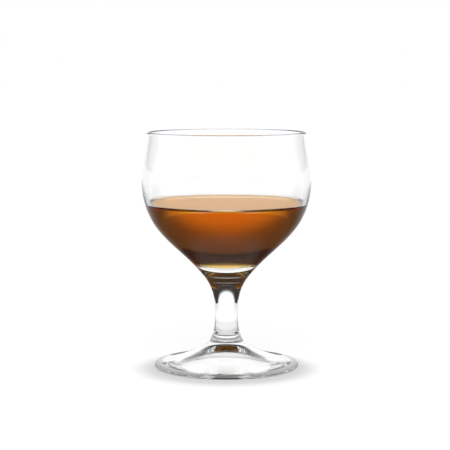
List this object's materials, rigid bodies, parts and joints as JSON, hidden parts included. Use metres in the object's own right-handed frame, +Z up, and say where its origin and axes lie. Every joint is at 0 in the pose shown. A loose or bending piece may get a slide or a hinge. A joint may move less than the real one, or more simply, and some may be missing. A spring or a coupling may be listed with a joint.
{
  "type": "dessert wine glass",
  "caption": "Short-stemmed clear glass for dessert wine, with a rounded bowl, a waisted stem, a round foot and a pour of amber wine.",
  "frame": {"origin": "centre of the ring that the foot rests on, at table level", "axes": "+Z up along the axis of revolution of the bowl, stem and foot"},
  "size_m": [0.074, 0.074, 0.103],
  "materials": {
    "bowl_glass": "polished",
    "stem_glass": "polished",
    "foot_glass": "polished",
    "wine": "gloss"
  },
  "bodies": {
    "root": {"bowl": "bowl_glass", "stem": "stem_glass", "foot": "foot_glass", "wine": "wine"}
  },
  "joints": []
}
